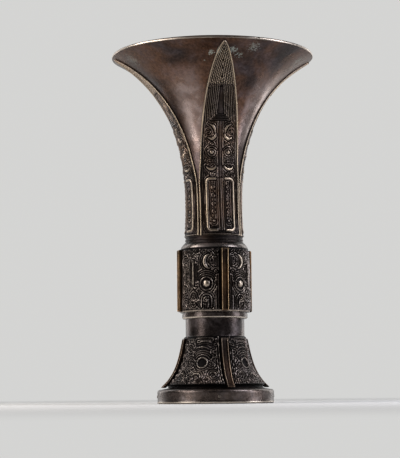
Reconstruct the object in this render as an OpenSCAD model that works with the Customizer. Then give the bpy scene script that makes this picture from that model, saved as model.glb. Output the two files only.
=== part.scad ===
// Bronze gu: a tall wine beaker with a trumpet mouth, a drum at its middle and a spreading foot.
// It is built as three castings that socket into each other, with a plinth ring, a floor disc,
// eight flanges let into slots, retaining pins and two solder fillets.
// Millimetres, +Z up, origin on the axis at the face the foot ring stands on.
// Azimuth 0 faces -Y, where the middle of the front mask is.

/* [Foot ring] */
// Outer radius of the plain ring the vessel stands on
ring_r = 46.8; // [43:0.1:54]
// Height of the foot ring
ring_h = 11.3; // [8:0.1:16]
// Wall of the foot ring beside the skirt
ring_wall = 3.5; // [2.5:0.1:4.5]
// Thickness of the inward lip under the skirt
ring_lip_h = 1.6; // [1.2:0.1:2.5]
// Width of the inward lip under the skirt
ring_lip_w = 2.8; // [2:0.1:4]
// Rounding of the ring's top outer edge
ring_round = 2.6; // [1:0.1:3]
// Radius of each pin that holds the ring on the skirt
pin_r = 1.2; // [0.8:0.1:1.6]
// How deep each pin goes into the skirt
pin_depth = 1.8; // [1:0.1:2.2]
// Azimuth of the first pin, from the front flange
pin_turn = -13; // [-40:1:-10]

/* [Foot] */
// Height of the spreading part, from the foot ring to the plain waist
foot_h = 41.7; // [36:0.1:52]
// Height of the shadow groove above the foot ring
hem_h = 4; // [3:0.1:6]
// Depth of the shadow groove
hem_depth = 1.4; // [0.8:0.1:2]
// Radius at the top of the spreading part
foot_top_r = 24.2; // [23.9:0.1:26]
// How far the even taper carries the foot outwards
foot_taper = 6.7; // [4:0.1:9]
// How far the hem stays inside the foot ring's outer edge
hem_in = 4.9; // [4.6:0.1:7]
// Wall of the foot and waist
foot_wall = 3; // [2.4:0.1:4]
// Radius of the plain waist above the foot
waist_r = 23.6; // [23:0.1:24.1]
// Height of the plain waist
waist_h = 14.4; // [10:0.1:20]

/* [Drum] */
// Height of the drum, from its underside to the neck's seat
drum_h = 55.7; // [48:0.1:70]
// Radius of the drum at its bottom
drum_bottom_r = 28.4; // [27.5:0.1:31]
// How much narrower the drum is at its top
drum_taper = 1; // [0:0.1:2]
// Wall of the drum
drum_wall = 3.2; // [2.6:0.1:3.8]
// Height of the sloping shoulder under the neck
shoulder_h = 4.6; // [3:0.1:6]
// Rounding under the drum's lower edge
drum_round = 1.5; // [0.8:0.1:2]
// Thickness of the ledges inside the drum's two ends
ledge_h = 3.6; // [2.6:0.1:5]
// Height of the collar between the waist and the drum
collar_h = 4.9; // [3.5:0.1:7]
// How far the collar stays inside the drum's lower edge
collar_in = 2; // [0.8:0.1:2.6]
// Thickness of the disc that closes the cup
floor_h = 3; // [2:0.1:4]

/* [Neck] */
// Height of the neck, from the drum to the rim
neck_h = 154; // [130:1:180]
// Radius of the neck where it stands on the drum
neck_root_r = 23.7; // [23:0.1:24.2]
// Radius at the narrowest place, the throat
throat_r = 22.3; // [21.6:0.1:22.8]
// Height of the throat above the neck's root
throat_h = 27; // [18:1:40]
// How far the long sweep carries the mouth outwards
sweep_r = 47.3; // [36:0.1:56]
// How far the late curl carries the mouth further
curl_r = 16.5; // [8:0.1:24]
// Wall of the neck
neck_wall = 2.6; // [2:0.1:3]
// Radius of the bead round the rim
rim_bead_r = 1.5; // [1.3:0.1:2.2]
// Length of the spigots that socket into the drum
spigot_h = 5.6; // [5:0.1:9]
// Outer radius of both spigots
spigot_r = 21.6; // [21.4:0.1:21.9]
// Depth of the string grooves round the neck's root
groove_depth = 0.6; // [0.3:0.1:1]
// Width of the string grooves round the neck's root
groove_w = 1.1; // [0.6:0.1:1.4]

/* [Blades] */
// How far each rising blade stands out from the neck
blade_rise = 0.8; // [0.5:0.1:1.4]
// How far the bead round each blade stands out further
blade_bead_rise = 0.6; // [0.3:0.1:1]
// Width of the bead round each blade
blade_bead_w = 1.3; // [0.9:0.1:2]
// Half width of a blade, measured round the neck where it is full
blade_half_w = 16.2; // [13:0.1:16.8]
// Height of a blade's foot above the neck's root
blade_foot_h = 5.4; // [4.8:0.1:12]
// Gap between a blade's tip and the rim's bead
blade_tip_gap = 1.6; // [1:0.1:6]
// How far the blades lean round the neck from foot to tip, in degrees
blade_lean = 9.5; // [0:0.5:10]
// Width of the frame at a blade's foot
frame_w = 22; // [18:0.1:23]
// Height of the frame at a blade's foot
frame_h = 41; // [30:0.5:46]
// Width of the frame's bars
frame_bar_w = 2; // [1.4:0.1:2.6]

/* [Masks] */
// How far the mask relief stands out from the ground
relief_rise = 0.9; // [0.5:0.1:1.4]
// How far the domed eyes stand out
eye_rise = 1.7; // [1.2:0.1:2.2]
// Radius of a drum mask's domed eye
eye_r = 3.1; // [2.4:0.1:3.5]
// Radius of the ring round a drum mask's eye
eye_ring_r = 4.6; // [4.2:0.1:5.2]
// Azimuth of a drum mask's eye from the middle of the mask
eye_turn = 29; // [24:1:34]
// Radius of the ring that is a foot mask's eye
foot_eye_r = 4.2; // [3:0.1:4.6]
// Azimuth of a foot mask's eye from the middle of the mask
foot_eye_turn = 38; // [32:1:44]
// Thickness of the raised rings and scrolls
line_w = 1.5; // [1:0.1:1.8]

/* [Flanges] */
// Width of every flange
flange_w = 5.6; // [4.4:0.1:6.4]
// How far a drum flange stands out from the drum's lower edge
drum_flange_rise = 2.3; // [1.8:0.1:3.5]
// Length of a drum flange
drum_flange_h = 50; // [40:0.5:51]
// How far a foot flange stands out at its top
foot_flange_top_rise = 2.3; // [1.5:0.1:3.4]
// How far a foot flange stands out at its bottom
foot_flange_bottom_rise = 4.2; // [2:0.1:5]
// Depth of the slots the flanges are let into
slot_depth = 0.9; // [0.6:0.1:1.3]
// Width of the channel along each flange
channel_w = 2.4; // [1.6:0.1:2.6]
// Depth of the channel along each flange
channel_depth = 0.9; // [0.5:0.1:1.1]

/* [Hidden] */
$fn = 96;

quarters = [0, 90, 180, 270];   // azimuths of the four flanges and blades
masks = [0, 180];               // azimuths of the two masks
fit = 0.05;                     // clearance of a spigot in its socket and a flange in its slot
bite = 0.5;                     // how deep relief is rooted in the wall that carries it
reach = 120;                    // longer than any radius, for cutters
fine = 0.05;                    // step for measuring a slope

// Levels, from the table up
foot_z = ring_h;                         // top of the foot ring
relief_z = ring_h + hem_h;               // lower edge of the foot's relief
waist_z = ring_h + foot_h;               // start of the plain waist
collar_z = waist_z + waist_h;            // seat of the collar on the waist
drum_z = collar_z + collar_h;            // underside of the drum
neck_z = drum_z + drum_h;                // seat of the neck on the drum
rim_z = neck_z + neck_h;                 // top of the rim
throat_z = neck_z + throat_h;
skirt_z = ring_lip_h;                    // underside of the foot's skirt
skirt_r = ring_r - ring_wall - fit;      // the skirt inside the foot ring
floor_z = drum_z + spigot_h;             // underside of the cup's floor
foot_curl = ring_r - hem_in - foot_top_r - foot_taper;   // what the curl adds at the hem
drum_top_r = drum_bottom_r - drum_taper;
collar_r = drum_bottom_r - collar_in;
bore_r = throat_r - neck_wall;           // bore of the neck from the throat down
socket_r = spigot_r + fit;
cup_r = drum_top_r - drum_wall;          // inside of the drum

// The trumpet: a long sweep and a late curl, with a slight spread below the throat
sweep_power = 2.5;
curl_power = 8.5;
lip_z = rim_z - rim_bead_r - neck_wall * 0.4;   // where the outer curve meets the rim bead
function neck_r(z) =
    let (t = (z - throat_z) / (rim_z - throat_z),
         s = (throat_z - z) / (throat_z - neck_z))
    z < throat_z
        ? throat_r + (neck_root_r - throat_r) * pow(s, 2)
        : throat_r + sweep_r * pow(t, sweep_power) + curl_r * pow(t, curl_power);

// The foot: an even taper with a curl at the hem
foot_power = 4;
function foot_r(z) =
    let (t = max(0, (waist_z - z) / (foot_h - hem_h / 2)))
    foot_top_r + foot_taper * t + foot_curl * pow(t, foot_power);

// The drum: a straight wall that widens a little downwards
shoulder_z = neck_z - shoulder_h;
function drum_r(z) =
    drum_bottom_r + (drum_top_r - drum_bottom_r) * (z - drum_z) / (shoulder_z - drum_z);

// A point on a profile, moved out by d square to the surface
function moved(r, z, slope, d) =
    let (k = d / sqrt(1 + slope * slope)) [r + k, z - k * slope];
function neck_slope(z) = (neck_r(z + fine) - neck_r(z - fine)) / (2 * fine);
function foot_slope(z) = (foot_r(z + fine) - foot_r(z - fine)) / (2 * fine);
function neck_point(z, d) = moved(neck_r(z), z, neck_slope(z), d);
function foot_point(z, d) = moved(foot_r(z), z, foot_slope(z), d);

// Heights along a profile, closer together towards the top where bias is over 1
function levels(low, high, steps, bias) =
    [for (i = [0 : steps]) low + (high - low) * (1 - pow(1 - i / steps, bias))];
function reversed(list) = [for (i = [len(list) - 1 : -1 : 0]) list[i]];

neck_steps = 26;
foot_steps = 14;
neck_bias = 1.7;

// Turns a flat drawing (x across, y up) into a radial column at an azimuth and height
module radial(azimuth, z = 0) {
    rotate([0, 0, azimuth]) translate([0, 0, z]) rotate([90, 0, 0]) children();
}

// A drawing and its mirror image to either side of a mask's middle
module both_sides() {
    children();
    mirror([1, 0, 0]) children();
}

module bronze() { color([0.33, 0.26, 0.21]) children(); }
module dark_bronze() { color([0.25, 0.2, 0.17]) children(); }
module solder() { color([0.45, 0.44, 0.42]) children(); }

// Drawings shared by the masks

module ring_drawing(r, w) {
    difference() {
        circle(r + w / 2);
        circle(r - w / 2);
    }
}

// A bar with round ends, drawn upwards from the origin
module bar_drawing(length, w) {
    translate([-w / 2, 0]) square([w, length]);
    circle(w / 2);
    translate([0, length]) circle(w / 2);
}

// A rounded block, centred on the origin
module block_drawing(w, h, r) {
    square([w - 2 * r, h], center = true);
    square([w, h - 2 * r], center = true);
    for (x = [-1, 1], y = [-1, 1])
        translate([x * (w / 2 - r), y * (h / 2 - r)]) circle(r);
}

// A crescent whose hollow side faces the given direction
module crescent_drawing(r, w, facing) {
    rotate([0, 0, facing]) difference() {
        circle(r);
        translate([w * 0.9, 0]) circle(r - w * 0.35);
    }
}

// An arch, open below, with straight legs
module arch_drawing(r, leg, w) {
    intersection() {
        ring_drawing(r, w);
        translate([-reach / 2, 0]) square([reach, reach / 2]);
    }
    for (x = [-1, 1])
        translate([x * r, -leg]) bar_drawing(leg, w);
}

// A hook: three quarters of a ring on a stem
module hook_drawing(r, stem, w) {
    difference() {
        ring_drawing(r, w);
        translate([-r * 2, -r * 2]) square(r * 2);
    }
    translate([0, -r]) circle(w / 2);
    translate([-r, -stem]) bar_drawing(stem, w);
}

// Neck

// The layer of the neck from d0 to d1 outside its surface
module neck_layer(low, high, d0, d1) {
    zs = levels(low, high, neck_steps, neck_bias);
    rotate_extrude() polygon(concat(
        [for (z = zs) neck_point(z, d0)],
        reversed([for (z = zs) neck_point(z, d1)])
    ));
}

module neck_wall_drawing() {
    zs = levels(neck_z, lip_z, neck_steps, neck_bias);
    inner = [for (z = zs) if (z > throat_z) neck_point(z, -neck_wall)];
    difference() {
        union() {
            polygon(concat(
                [[bore_r, neck_z - spigot_h], [spigot_r, neck_z - spigot_h], [spigot_r, neck_z]],
                [for (z = zs) neck_point(z, 0)],
                reversed(inner),
                [[bore_r, throat_z]]
            ));
            translate([neck_point(lip_z, -neck_wall / 2)[0], rim_z - rim_bead_r])
                circle(rim_bead_r, $fn = 32);
        }
        for (i = [0, 1])
            translate([neck_r(neck_z) - groove_depth, neck_z + groove_w * (1 + 2.1 * i)])
                square([groove_depth * 3, groove_w]);
    }
}

blade_foot_z = neck_z + blade_foot_h;
blade_tip_z = lip_z - blade_tip_gap;
blade_full_z = throat_z + 26;            // below this a blade is at its full width
blade_spread = 1.7;                      // how much wider it gets round the throat
blade_half_max = 44.4;                   // neighbours keep a narrow furrow between them

// Azimuth of a blade's middle at a height, from its foot
function blade_middle(z) = -blade_lean * (z - blade_foot_z) / (blade_tip_z - blade_foot_z);

// Half width of a blade round the neck at a height: a pointed arch on straight sides
function blade_half(z) =
    let (u = max(0, min(1, (blade_tip_z - z) / (blade_tip_z - blade_full_z))),
         spread = blade_spread * max(0, (blade_full_z + 14 - z) / 28))
    blade_half_w * pow(1 - pow(1 - u, 2.4), 0.6) + spread;

function blade_side(z, side, inset) =
    let (half = min(blade_half_max, blade_half(z) / neck_r(z) * 180 / PI),
         shift = inset / neck_r(z) * 180 / PI,
         a = blade_middle(z) + side * max(0, half - shift))
    [neck_r(z) * sin(a), z];

// A blade's outline as seen square on, drawn in from its edge by inset
module blade_drawing(inset) {
    top = blade_tip_z - inset * 2.6;
    zs = levels(blade_foot_z + inset, top - fine, 16, 1.6);
    polygon(concat(
        [for (z = zs) blade_side(z, 1, inset)],
        [[neck_r(top) * sin(blade_middle(top)), top]],
        reversed([for (z = zs) blade_side(z, -1, inset)])
    ));
}

frame_z = blade_foot_z + 2.6 + frame_h / 2;      // middle of the frame
frame_round = 3.4;

// The frame at a blade's foot, open at the middle of its top
module frame_drawing() {
    translate([0, frame_z]) difference() {
        block_drawing(frame_w, frame_h, frame_round);
        block_drawing(frame_w - 2 * frame_bar_w, frame_h - 2 * frame_bar_w, frame_round - 1.4);
        translate([-frame_w / 7, 0]) square([frame_w / 3.5, frame_h]);
    }
}

totem_z = frame_z + frame_h / 2;                 // the paired figures start above the frame
totem_step = 12;                                 // height of each pair
totem_x = 7;                                     // how far a figure is from the blade's middle

// Paired figures up the middle of a blade: crescents, eyes, leaves and horns
module totem_drawing() {
    both_sides() {
        translate([totem_x, totem_z + totem_step * 0.6]) crescent_drawing(3.1, 2.2, 90);
        translate([totem_x, totem_z + totem_step * 1.7]) ring_drawing(2.5, line_w);
        translate([totem_x + 0.6, totem_z + totem_step * 2.7]) crescent_drawing(3.2, 2.4, 120);
        translate([totem_x - 0.6, totem_z + totem_step * 3.25])
            rotate([0, 0, -38]) bar_drawing(6, line_w);
    }
}

// What stands on a blade's face, moved sideways with its lean
module blade_face_drawing() {
    multmatrix([
        [1, -tan(blade_lean) * 0.28, 0, tan(blade_lean) * 0.28 * blade_foot_z],
        [0, 1, 0, 0],
        [0, 0, 1, 0],
        [0, 0, 0, 1]
    ]) {
        frame_drawing();
        totem_drawing();
    }
}

module blade(azimuth) {
    top = blade_tip_z;
    // the panel
    intersection() {
        neck_layer(blade_foot_z, top, -bite, blade_rise);
        radial(azimuth) linear_extrude(reach) blade_drawing(0);
    }
    // the bead round its edge
    intersection() {
        neck_layer(blade_foot_z, top, -bite, blade_rise + blade_bead_rise);
        radial(azimuth) linear_extrude(reach) difference() {
            blade_drawing(0);
            blade_drawing(blade_bead_w);
        }
    }
    // the frame and figures
    intersection() {
        neck_layer(blade_foot_z, blade_full_z + 60, -bite, blade_rise + blade_bead_rise);
        radial(azimuth) linear_extrude(reach) blade_face_drawing();
    }
}

module neck() {
    bronze() union() {
        rotate_extrude() neck_wall_drawing();
        for (a = quarters) blade(a);
    }
}

// Drum

module drum_layer(low, high, d0, d1) {
    rotate_extrude() polygon([
        [drum_r(low) + d0, low], [drum_r(low) + d1, low],
        [drum_r(high) + d1, high], [drum_r(high) + d0, high]
    ]);
}

drum_flange_z = drum_z + (shoulder_z - drum_z - drum_flange_h) / 2;
drum_slot_r = drum_top_r - slot_depth;           // the flat bottom of a drum slot
drum_flange_r = drum_bottom_r + drum_flange_rise;

module drum_wall_drawing() {
    difference() {
        union() {
            polygon([
                [socket_r, drum_z], [drum_bottom_r - drum_round, drum_z],
                [drum_bottom_r, drum_z + drum_round], [drum_top_r, shoulder_z],
                [neck_root_r + 0.6, neck_z], [socket_r, neck_z]
            ]);
            translate([drum_bottom_r - drum_round, drum_z + drum_round])
                circle(drum_round, $fn = 32);
        }
        polygon([
            [0, drum_z + ledge_h], [cup_r, drum_z + ledge_h],
            [cup_r, neck_z - ledge_h - (cup_r - socket_r)], [socket_r, neck_z - ledge_h],
            [0, neck_z - ledge_h]
        ]);
    }
}

eye_z = drum_z + 22.4;                           // height of a drum mask's eyes
horn_z = eye_z + 17.8;                           // of its horns
jaw_z = eye_z - 12;                              // of its jaws
tail_turn = eye_turn + 25;                       // azimuth of its body and tail

// Relief of half a mask on the drum: horn, jaw, body and claw
module drum_half_mask() {
    radial(eye_turn - 3.5, horn_z) linear_extrude(reach) crescent_drawing(5.2, 3.2, 0);
    radial(eye_turn - 1, jaw_z) linear_extrude(reach) arch_drawing(3.6, 5, line_w);
    radial(eye_turn - 1, jaw_z - 2.6) linear_extrude(reach) circle(1.5, $fn = 32);
    radial(tail_turn, eye_z) linear_extrude(reach) bar_drawing(17, line_w);
    radial(tail_turn + 4, eye_z - 2) linear_extrude(reach)
        rotate([0, 0, 90]) bar_drawing(3, line_w);
    radial(tail_turn + 2, jaw_z + 2) linear_extrude(reach) arch_drawing(3.1, 3, line_w);
    radial(tail_turn + 14, horn_z) linear_extrude(reach) hook_drawing(2.8, 11, line_w);
    radial(tail_turn + 3, jaw_z - 5) linear_extrude(reach) ring_drawing(2.2, line_w);
}

// A domed eye that stands out from a surface of radius r
module domed_eye(r, z, azimuth) {
    ball_r = (eye_r * eye_r + eye_rise * eye_rise) / (2 * eye_rise);
    radial(azimuth, z) intersection() {
        translate([0, 0, r + eye_rise - ball_r]) sphere(ball_r);
        translate([0, 0, r - bite]) cylinder(r = eye_r, h = bite + eye_rise * 2);
    }
}

module eye_ring(r, z, azimuth, ring) {
    radial(azimuth, z) translate([0, 0, r])
        rotate_extrude() translate([ring, 0]) circle(line_w / 2, $fn = 24);
}

// The slot a drum flange is let into
module drum_slot(azimuth) {
    rotate([0, 0, azimuth])
        translate([-flange_w / 2 - fit, -reach, drum_flange_z - fit])
            cube([flange_w + 2 * fit, reach - drum_slot_r, drum_flange_h + 2 * fit]);
}

module drum() {
    dark_bronze() difference() {
        union() {
            rotate_extrude() drum_wall_drawing();
            intersection() {
                drum_layer(drum_z + 1.5 * drum_round, shoulder_z, -bite, relief_rise);
                for (m = masks) rotate([0, 0, m]) both_sides() drum_half_mask();
            }
            for (m = masks) rotate([0, 0, m]) both_sides() {
                domed_eye(drum_r(eye_z), eye_z, eye_turn);
                eye_ring(drum_r(eye_z), eye_z, eye_turn, eye_ring_r);
            }
        }
        for (a = quarters) drum_slot(a);
    }
}

// A drum flange: a bar with chamfered corners and a sunk channel along its face
module drum_flange(azimuth) {
    corner = 1.4;
    dark_bronze() rotate([0, 0, azimuth]) difference() {
        rotate([90, 0, 90]) translate([0, 0, -flange_w / 2]) linear_extrude(flange_w) polygon([
            [-drum_slot_r, drum_flange_z], [-drum_slot_r, drum_flange_z + drum_flange_h],
            [-drum_flange_r + corner, drum_flange_z + drum_flange_h],
            [-drum_flange_r, drum_flange_z + drum_flange_h - corner],
            [-drum_flange_r, drum_flange_z + corner], [-drum_flange_r + corner, drum_flange_z]
        ]);
        translate([-channel_w / 2, -drum_flange_r - 1, drum_flange_z + 2 * corner])
            cube([channel_w, 1 + channel_depth, drum_flange_h - 4 * corner]);
    }
}

// Foot

module foot_layer(low, high, d0, d1) {
    zs = levels(low, high, foot_steps, 1);
    rotate_extrude() polygon(concat(
        [for (z = zs) foot_point(z, d0)],
        reversed([for (z = zs) foot_point(z, d1)])
    ));
}

hem_r = foot_r(relief_z) - hem_depth;            // bottom of the shadow groove

module foot_wall_drawing() {
    zs = levels(relief_z, waist_z, foot_steps, 1);
    inside = levels(relief_z, waist_z - foot_wall / 2, foot_steps, 1);
    skirt_in = skirt_r - foot_wall;
    spigot_in = spigot_r - foot_wall;
    polygon(concat(
        [[skirt_in, skirt_z], [skirt_r, skirt_z], [skirt_r, foot_z], [hem_r, foot_z + hem_h * 0.3],
         [hem_r, foot_z + hem_h * 0.6]],
        [for (z = zs) foot_point(z, 0)],
        [[waist_r, waist_z], [waist_r, collar_z], [spigot_r, collar_z], [spigot_r, floor_z],
         [spigot_in, floor_z], [spigot_in, waist_z]],
        reversed([for (z = inside) foot_point(z, -foot_wall)]),
        [[skirt_in, foot_z]]
    ));
}

foot_flange_low = foot_z + hem_h * 0.3;
foot_flange_high = waist_z - 1.2;

// How far a foot flange stands out at a height
function foot_flange_rise(z) =
    foot_flange_bottom_rise + (foot_flange_top_rise - foot_flange_bottom_rise)
        * (z - foot_flange_low) / (foot_flange_high - foot_flange_low);

// A foot flange's side view, from depth d below the foot's surface to its outer edge less cut
module foot_flange_drawing(low, high, d, cut) {
    zs = levels(low, high, foot_steps, 1);
    outer = [for (z = zs) [foot_point(z, foot_flange_rise(z) - cut)[0], z]];
    inner = [for (z = zs) [foot_point(z, 0)[0] - d, z]];
    polygon(concat([for (p = outer) [-p[0], p[1]]], reversed([for (p = inner) [-p[0], p[1]]])));
}

// Stands a side view (minus radius across, height up) on edge, w thick, at an azimuth
module on_edge(azimuth, w) {
    rotate([0, 0, azimuth]) rotate([90, 0, 90]) translate([0, 0, -w / 2]) linear_extrude(w)
        children();
}

foot_eye_z = foot_z + 20;                        // height of a foot mask's eyes
foot_brow_z = foot_eye_z + 10.5;                 // of its brows
foot_jaw_z = foot_eye_z - 11.5;                  // of its jaws

// Relief of half a mask on the foot: brow, crown, jaw, nostril and tail
module foot_half_mask() {
    radial(foot_eye_turn, foot_eye_z) linear_extrude(reach) intersection() {
        ring_drawing(8, line_w);
        translate([-6, 2]) square([12, 12]);
    }
    radial(foot_eye_turn, foot_brow_z + 4.5) linear_extrude(reach)
        block_drawing(12, line_w * 1.2, line_w * 0.4);
    radial(foot_eye_turn + 3, foot_jaw_z) linear_extrude(reach) crescent_drawing(4.2, 2.8, 270);
    radial(foot_eye_turn - 20, foot_jaw_z + 1) linear_extrude(reach) arch_drawing(2.4, 2, line_w);
    radial(foot_eye_turn + 24, foot_eye_z - 5) linear_extrude(reach) hook_drawing(3, 6, line_w);
    radial(foot_eye_turn + 24, foot_brow_z + 1) linear_extrude(reach)
        crescent_drawing(3.4, 2.4, 0);
}

// The foot mask's eye: a ring with a small pupil, lying on the slope
module foot_eye(azimuth) {
    tilt = atan(foot_slope(foot_eye_z));
    radial(azimuth, foot_eye_z) translate([0, 0, foot_r(foot_eye_z)]) rotate([tilt, 0, 0]) {
        rotate_extrude() translate([foot_eye_r, 0]) circle(line_w / 2, $fn = 24);
        translate([0, 0, -bite]) cylinder(r = line_w * 0.8, h = bite + relief_rise, $fn = 32);
    }
}

module foot() {
    bronze() difference() {
        union() {
            rotate_extrude() foot_wall_drawing();
            intersection() {
                foot_layer(relief_z + 1, waist_z - 1, -bite, relief_rise);
                for (m = masks) rotate([0, 0, m]) both_sides() foot_half_mask();
            }
            for (m = masks) rotate([0, 0, m]) both_sides() foot_eye(foot_eye_turn);
        }
        // slots for the flanges
        for (a = quarters)
            on_edge(a, flange_w + 2 * fit)
                foot_flange_drawing(foot_flange_low - fit, foot_flange_high + fit,
                                    slot_depth + fit, -relief_rise);
        // blind holes for the pins
        for (a = quarters)
            radial(a + pin_turn, ring_h / 2) translate([0, 0, skirt_r - pin_depth])
                cylinder(r = pin_r + fit, h = pin_depth * 3);
    }
}

module foot_flange(azimuth) {
    bronze() difference() {
        on_edge(azimuth, flange_w)
            foot_flange_drawing(foot_flange_low, foot_flange_high, slot_depth, 0);
        difference() {
            on_edge(azimuth, channel_w)
                foot_flange_drawing(foot_flange_low + 3, foot_flange_high - 3,
                                    -foot_flange_bottom_rise * 0.2, -channel_depth);
            on_edge(azimuth, channel_w * 2)
                foot_flange_drawing(foot_flange_low, foot_flange_high, slot_depth, channel_depth);
        }
    }
}

// Foot ring, with a lip under the skirt and holes for its pins
module foot_ring() {
    corner = min(ring_round, ring_wall - 0.5);
    bronze() difference() {
        rotate_extrude() {
            translate([ring_r - ring_wall, 0]) square([ring_wall - corner, ring_h]);
            translate([ring_r - ring_wall, 0]) square([ring_wall, ring_h - corner]);
            intersection() {
                translate([ring_r - corner, ring_h - corner]) circle(corner, $fn = 32);
                translate([ring_r - ring_wall, 0]) square([ring_wall, ring_h]);
            }
            translate([ring_r - ring_wall - ring_lip_w, 0])
                square([ring_lip_w + ring_wall / 2, ring_lip_h]);
        }
        for (a = quarters)
            radial(a + pin_turn, ring_h / 2) translate([0, 0, ring_r - ring_wall - 1])
                cylinder(r = pin_r + fit, h = ring_wall + 2);
    }
}

// Four pins, peened a little proud of the ring
module foot_ring_pins() {
    proud = 0.25;
    dark_bronze() for (a = quarters)
        radial(a + pin_turn, ring_h / 2) translate([0, 0, skirt_r - pin_depth])
            cylinder(r = pin_r, h = ring_r + proud - skirt_r + pin_depth);
}

// The collar that hides the joint between the waist and the drum: a square ring with its lower
// edge rounded, and a narrow step under the drum
module lower_collar() {
    collar_round = collar_h * 0.3;
    step_h = collar_h * 0.16;
    bronze() rotate_extrude() {
        polygon([
            [socket_r, collar_z], [collar_r - collar_round, collar_z],
            [collar_r, collar_z + collar_round], [collar_r, drum_z - step_h],
            [collar_r - step_h, drum_z - step_h], [collar_r - step_h, drum_z],
            [socket_r, drum_z]
        ]);
        translate([collar_r - collar_round, collar_z + collar_round])
            circle(collar_round, $fn = 32);
    }
}

module cup_floor() {
    dark_bronze() translate([0, 0, floor_z]) cylinder(r = cup_r - fit, h = floor_h);
}

// Solder run into the corner under the drum's upper ledge, round the neck's spigot
module upper_solder_fillet() {
    leg = min(spigot_h - ledge_h, 2);
    solder() rotate_extrude() polygon([
        [spigot_r, neck_z - ledge_h], [spigot_r, neck_z - ledge_h - leg],
        [socket_r + leg * 0.2, neck_z - ledge_h - leg * 0.35], [socket_r, neck_z - ledge_h]
    ]);
}

// Solder run into the corner over the drum's lower ledge, round the foot's spigot
module lower_solder_fillet() {
    leg = min(spigot_h - ledge_h, 2);
    solder() rotate_extrude() polygon([
        [spigot_r, drum_z + ledge_h], [spigot_r + leg * 1.2, drum_z + ledge_h],
        [spigot_r, drum_z + ledge_h + leg]
    ]);
}

neck();
drum();
foot();
foot_ring();
lower_collar();
cup_floor();
drum_flange(0);  // drum_flange_front
drum_flange(90);  // drum_flange_right
drum_flange(180);  // drum_flange_back
drum_flange(270);  // drum_flange_left
foot_flange(0);  // foot_flange_front
foot_flange(90);  // foot_flange_right
foot_flange(180);  // foot_flange_back
foot_flange(270);  // foot_flange_left
foot_ring_pins();
upper_solder_fillet();
lower_solder_fillet();
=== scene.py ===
import math

import bpy
import numpy as np
from mathutils import Matrix, Vector


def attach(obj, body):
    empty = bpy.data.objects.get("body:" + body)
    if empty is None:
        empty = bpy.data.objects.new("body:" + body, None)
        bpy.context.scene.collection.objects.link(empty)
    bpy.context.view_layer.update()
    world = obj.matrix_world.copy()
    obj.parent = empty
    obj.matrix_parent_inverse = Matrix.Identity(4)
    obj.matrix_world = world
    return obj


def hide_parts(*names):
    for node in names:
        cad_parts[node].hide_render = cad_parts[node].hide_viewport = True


# A bronze gu: chased shells and patina over the frame's solids, and the stage round them

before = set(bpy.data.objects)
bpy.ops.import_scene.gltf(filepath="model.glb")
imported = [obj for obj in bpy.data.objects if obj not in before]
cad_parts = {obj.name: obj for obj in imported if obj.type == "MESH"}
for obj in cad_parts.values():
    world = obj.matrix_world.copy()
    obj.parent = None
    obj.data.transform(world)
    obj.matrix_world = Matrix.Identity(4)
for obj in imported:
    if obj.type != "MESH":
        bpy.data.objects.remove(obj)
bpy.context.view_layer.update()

MM = 0.001
QUARTERS = (0, 90, 180, 270)     # azimuths of the flanges and blades; 0 faces -Y, 90 faces +X
SIDES = ("front", "right", "back", "left")

# Sizes in mm, the same as the solids'

RING_R, RING_H, RING_WALL = 46.8, 11.3, 3.5
RING_LIP_W, RING_LIP_H = 2.8, 1.6            # the lip that carries the foot's skirt
PIN_R, PIN_TURN = 1.2, -13                   # the pins sit a little left of the flanges
WAIST_Z, COLLAR_Z, DRUM_Z, NECK_Z, RIM_Z = 53.0, 67.4, 72.3, 128.0, 282.0
HEM_Z = 15.3                     # lower edge of the foot's relief
THROAT_Z = NECK_Z + 27
SHOULDER_Z = NECK_Z - 4.6
WAIST_R, SPIGOT_R, SPIGOT_H, SOCKET_R = 23.6, 21.6, 5.6, 21.65
DRUM_R, DRUM_ROUND, CUP_R, LEDGE_H = 28.4, 1.5, 24.2, 3.6
COLLAR_R, COLLAR_ROUND = 26.4, 1.47
FLANGE_W = 5.6
DRUM_FLANGE_R, FOOT_TOE_R = 30.68, 44.6      # how far the flanges stand out from the axis
THROAT_R, FOOT_TOP_R = 22.3, 24.2
NECK_WALL, BEAD_R = 2.6, 1.5
LIP_Z = RIM_Z - BEAD_R - NECK_WALL * 0.4
BLADE_FOOT, BLADE_TIP, BLADE_FULL = NECK_Z + 5.4, LIP_Z - 0.7, THROAT_Z + 26


def neck_radius(z):
    z = np.asarray(z, float)
    up = np.clip((z - THROAT_Z) / (RIM_Z - THROAT_Z), 0, None)
    down = np.clip((THROAT_Z - z) / (THROAT_Z - NECK_Z), 0, None)
    return THROAT_R + 1.4 * down ** 2 + 47.3 * up ** 2.5 + 16.5 * up ** 8.5


def foot_radius(z):
    t = np.clip((WAIST_Z - np.asarray(z, float)) / 39.7, 0, None)
    return FOOT_TOP_R + 6.7 * t + 11 * t ** 4


def drum_radius(z):
    return DRUM_R - (np.asarray(z, float) - DRUM_Z) / (SHOULDER_Z - DRUM_Z)


def outward(radius, z):
    """The outward direction (across, up) of a profile at each height."""
    slope = (radius(z + 0.05) - radius(z - 0.05)) / 0.1
    size = np.sqrt(1 + slope ** 2)
    return 1 / size, -slope / size


def lengths(radius, low, high, count):
    """Heights, and the distance up the profile from low to each."""
    zs = np.linspace(low, high, count)
    steps = np.hypot(np.diff(radius(zs)), np.diff(zs))
    return zs, np.concatenate([[0], np.cumsum(steps)])


def climb(radius, low, high):
    """A function from a height to the distance up the profile from low."""
    zs, length = lengths(radius, low, high, 400)
    return lambda z: np.interp(z, zs, length)


def even_heights(radius, low, high, step):
    """Heights a given distance apart along the profile."""
    zs, length = lengths(radius, low, high, 800)
    return np.interp(np.linspace(0, length[-1], int(length[-1] / step) + 1), length, zs)


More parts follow.
